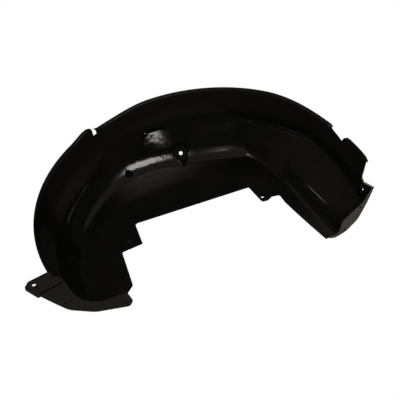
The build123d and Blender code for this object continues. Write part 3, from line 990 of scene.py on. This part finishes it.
class LINER_OT_moulding(bpy.types.Operator):
    """Build the moulded liner with its pockets, flanges, trimmed edges and holes"""

    bl_idname = "liner.moulding"
    bl_label = "Build Moulding"
    bl_options = {"REGISTER", "UNDO"}

    def execute(self, context):
        wall = sizes("shell")["wall"]
        material = plastic()
        core = combined(form("core", 0.0, **CORE_BOUNDS), "DIFFERENCE", [pad(0.0)])
        wheel_space = combined(core, "UNION", pockets(0.0))
        body = combined(form("moulding", wall, **SHELL_BOUNDS), "DIFFERENCE", [pad(wall)])
        body = combined(body, "UNION", pockets(wall))
        body = combined(body, "DIFFERENCE", [twin(wheel_space), *trims()])
        flanges = combined(flange_blanks(), "DIFFERENCE", [wheel_space])
        body = combined(body, "UNION", [flanges, *raised_marks()])
        body = combined(body, "DIFFERENCE", [drill_bits(material), slot_cutter()])
        body.data.materials.clear()
        body.data.materials.append(material)
        body.data.shade_smooth()
        body.data.set_sharp_from_angle(angle=radians(SHARP_ANGLE))
        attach(body, "root")
        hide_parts(NODE)
        return {"FINISHED"}


def lamp(name, target, way, distance, spans, strength, tint, gloss=True, throw=WIDE):
    """A soft box seen from a target: the way to it, its distance, half its width and height in degrees."""
    light = bpy.data.lights.new(name, "AREA")
    light.shape = "RECTANGLE"
    light.size, light.size_y = [2 * distance * tan(radians(span)) * MM for span in spans]
    half = radians(throw) / 2
    gathered = tan(half) / (tan(half) - half) if throw < WIDE else 1.0
    light.energy = strength * pi * light.size * light.size_y / gathered
    light.color = linear(tint)[:3]
    light.spread = radians(throw)
    made = bpy.data.objects.new(name, light)
    way = Vector(way).normalized()
    made.location = (Vector(target) + AXLE + way * distance) * MM
    made.rotation_euler = way.to_track_quat("Z", "Y").to_euler()
    bpy.context.scene.collection.objects.link(made)
    made.visible_camera = False
    made.visible_glossy = gloss


def lay_floor():
    """Floor just under the feet. Only the camera sees it, so that lamps below it still reach the liner."""
    mesh = bpy.data.meshes.new("floor")
    ends = ((-1, -1), (1, -1), (1, 1), (-1, 1))
    mesh.from_pydata([(x * FLOOR_REACH, y * FLOOR_REACH, FLOOR_HEIGHT) for x, y in ends], [], [(0, 1, 2, 3)])
    floor = linked("floor", mesh)
    mesh.materials.append(floor_paper())
    floor.visible_diffuse = floor.visible_glossy = False
    floor.visible_transmission = floor.visible_shadow = False


def studio_world():
    """White behind the liner for the camera, and a dark room for its sheen."""
    world = bpy.data.worlds.new("Studio")
    world.use_nodes = True
    tree = world.node_tree
    tree.nodes.clear()
    seen = add_node(tree, "ShaderNodeLightPath").outputs["Is Camera Ray"]
    white = add_node(tree, "ShaderNodeBackground", {"Color": WHITE, "Strength": 1.0})
    room = add_node(tree, "ShaderNodeBackground", {"Color": WHITE, "Strength": ROOM})
    both = add_node(
        tree, "ShaderNodeMixShader", links={"Fac": seen, 1: room.outputs[0], 2: white.outputs[0]}
    )
    add_node(tree, "ShaderNodeOutputWorld", links={"Surface": both.outputs[0]})
    return world


def hang_lamps():
    """Lamps for the plain colour, then soft boxes for the sheen."""
    lamp("plain_below", MIDDLE, (0.0, -0.2, -0.98), 2500, (35, 35), 0.85, "#FFFFFF", gloss=False)
    lamp("plain_left", MIDDLE, (-0.93, -0.35, 0.12), 2500, (30, 30), 2.2, "#FFFFFF", gloss=False)
    lamp("plain_right", MIDDLE, (0.85, -0.45, 0.1), 2500, (30, 30), 0.7, "#FFFFFF", gloss=False)
    # The lamp behind is for views of the back, and may be reflected there
    lamp("plain_back", MIDDLE, (0.3, 0.75, 0.6), 2500, (30, 30), 1.2, "#FFFFFF")
    lamp("key", TOP, (0.192, -0.907, -0.375), 8000, (12.5, 11.7), 8.5, "#FFFAF2")
    lamp("fill", TOP, (0.192, -0.981, -0.02), 1200, (14.5, 29), 0.18, "#FFF0E0")
    lamp("panel", (310, 110, 60), (-0.55, -0.76, 0.36), 2500, (12, 14), 0.05, "#FFECD4")
    lamp("brow", (272, 134, 19), (-0.79, -0.56, 0.26), 300, (7, 5), 9.0, "#FFF0C8", throw=8.0)
    lamp("crease", (191, 139, 203), (-0.138, -0.914, 0.383), 660, (5, 5), 5.5, "#FFFAF2", throw=13.0)
    lamp("lens", (262, 90, 215), (-0.26, -0.886, 0.384), 630, (3, 3), 9.0, "#FFFAF2", throw=9.0)
    lamp("right_foot", (317, 136, -78), (0.29, 0.73, -0.62), 1200, (10, 10), 0.75, "#FFF4DE")
    lamp("left_foot", (-290, 140, -78), (-0.03, 0.76, -0.65), 1200, (12, 12), 0.18, "#FFF2DC")


def set_camera(scene):
    """Camera that looks up at the liner from below its feet."""
    stage = settings("stage")
    lie, turn, roll = stage.tilt, stage.azimuth, stage.roll
    back = Vector((sin(turn) * cos(lie), -sin(lie), -cos(turn) * cos(lie)))
    level_right = Vector((cos(turn), 0.0, sin(turn)))
    level_up = back.cross(level_right)
    right = level_right * cos(roll) - level_up * sin(roll)
    up = level_right * sin(roll) + level_up * cos(roll)
    camera = bpy.data.cameras.new("camera")
    camera.lens = stage.lens
    camera.sensor_width = SENSOR
    view = bpy.data.objects.new("camera", camera)
    view.matrix_world = Matrix((right, up, back)).transposed().to_4x4()
    view.location = (Vector(AIM) + AXLE) * MM + back * stage.distance
    scene.collection.objects.link(view)
    scene.camera = view


class LINER_OT_stage(bpy.types.Operator):
    """Build the floor, the light and the camera"""

    bl_idname = "liner.stage"
    bl_label = "Build Stage"
    bl_options = {"REGISTER", "UNDO"}

    def execute(self, context):
        lay_floor()
        context.scene.world = studio_world()
        hang_lamps()
        set_camera(context.scene)
        context.scene.view_settings.view_transform = "Standard"
        return {"FINISHED"}


class LINER_PT_panel(bpy.types.Panel):
    """Sizes and colours of the liner, and buttons that build it"""

    bl_idname = "LINER_PT_panel"
    bl_label = "Wheel Arch Liner"
    bl_space_type = "VIEW_3D"
    bl_region_type = "UI"
    bl_category = "Liner"

    def draw(self, context):
        for group in ("shell", "fixings", "finish", "stage"):
            values = settings(group)
            column = self.layout.column(align=True)
            column.label(text=group.capitalize())
            for name in type(values).__annotations__:
                column.prop(values, name)
        self.layout.operator(LINER_OT_moulding.bl_idname)
        self.layout.operator(LINER_OT_stage.bl_idname)


GROUPS = {
    "liner_shell": LinerShellSizes,
    "liner_fixings": LinerFixingSizes,
    "liner_finish": LinerFinish,
    "liner_stage": LinerStageSettings,
}
CLASSES = (*GROUPS.values(), LINER_OT_moulding, LINER_OT_stage, LINER_PT_panel)


def register():
    """Adds the classes and hangs the property groups on the scene."""
    for item in CLASSES:
        bpy.utils.register_class(item)
    for name, group in GROUPS.items():
        setattr(bpy.types.Scene, name, PointerProperty(type=group))


def unregister():
    """Takes away what register added."""
    for name in GROUPS:
        delattr(bpy.types.Scene, name)
    for item in reversed(CLASSES):
        bpy.utils.unregister_class(item)


def main():
    """Builds the liner and the stage."""
    register()
    bpy.ops.liner.moulding()
    bpy.ops.liner.stage()


if __name__ == "__main__":
    main()
